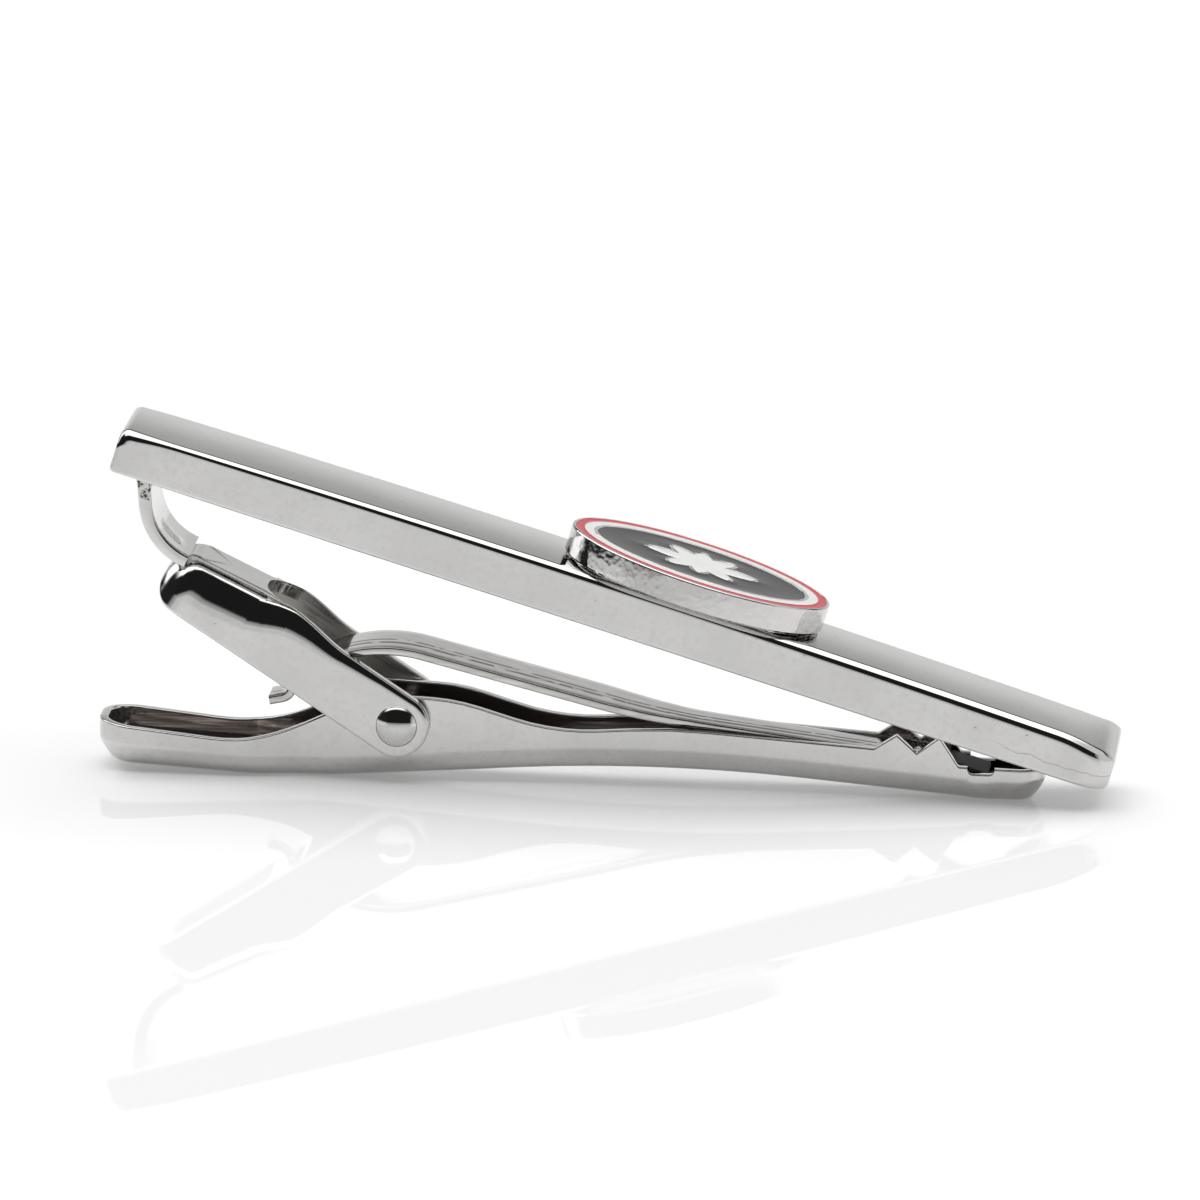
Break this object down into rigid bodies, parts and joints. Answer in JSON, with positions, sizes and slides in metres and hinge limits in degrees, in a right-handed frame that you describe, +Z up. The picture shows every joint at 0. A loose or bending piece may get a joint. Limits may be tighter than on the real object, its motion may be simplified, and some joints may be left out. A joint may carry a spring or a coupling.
{
  "type": "tie clip",
  "caption": "Spring tie clip: a slim polished bar with an oval enamelled emblem, and behind it a toothed jaw that a bowed leaf spring closes on the tie.",
  "frame": {"origin": "middle of the flat under the jaw's belly, on the surface the clip lies on", "axes": "+X along the jaw from the thumb end to the toothed nose, +Y across the clip, +Z up"},
  "size_m": [0.0528, 0.009, 0.0184],
  "materials": {
    "bar_plating": "mirror polished plating",
    "emblem_plating": "mirror polished plating",
    "red_enamel": "flush hard enamel, glossy",
    "white_enamel": "flush hard enamel, glossy",
    "dark_enamel": "flush hard enamel, glossy",
    "rosette_enamel": "flush hard enamel, glossy",
    "solder": "bright tin solder",
    "braze": "dark, rough as laid",
    "bracket_plating": "mirror polished plating",
    "rivet_plating": "mirror polished plating",
    "jaw_plating": "mirror polished plating",
    "spring_steel": "bright spring steel with fine draw marks"
  },
  "bodies": {
    "front": {"front_bar": "bar_plating", "emblem_base": "emblem_plating", "enamel_red_ring": "red_enamel", "enamel_white_ring": "white_enamel", "enamel_dark_field": "dark_enamel", "enamel_white_rosette": "rosette_enamel", "emblem_solder": "solder", "tongue_braze": "braze", "hinge_bracket": "bracket_plating", "hinge_rivet": "rivet_plating"},
    "jaw": {"clip_jaw": "jaw_plating", "leaf_spring": "spring_steel"}
  },
  "joints": [
    {"name": "jaw_hinge", "type": "hinge", "parent": "front", "child": "jaw", "pos_m": [0.00525, 0, 0.00315], "axis": [0, 1, 0], "range_deg": [0, 14], "stiffness_Nm_per_rad": 0.05, "springref_deg": -1.15, "deforming": ["leaf_spring"]}
  ]
}
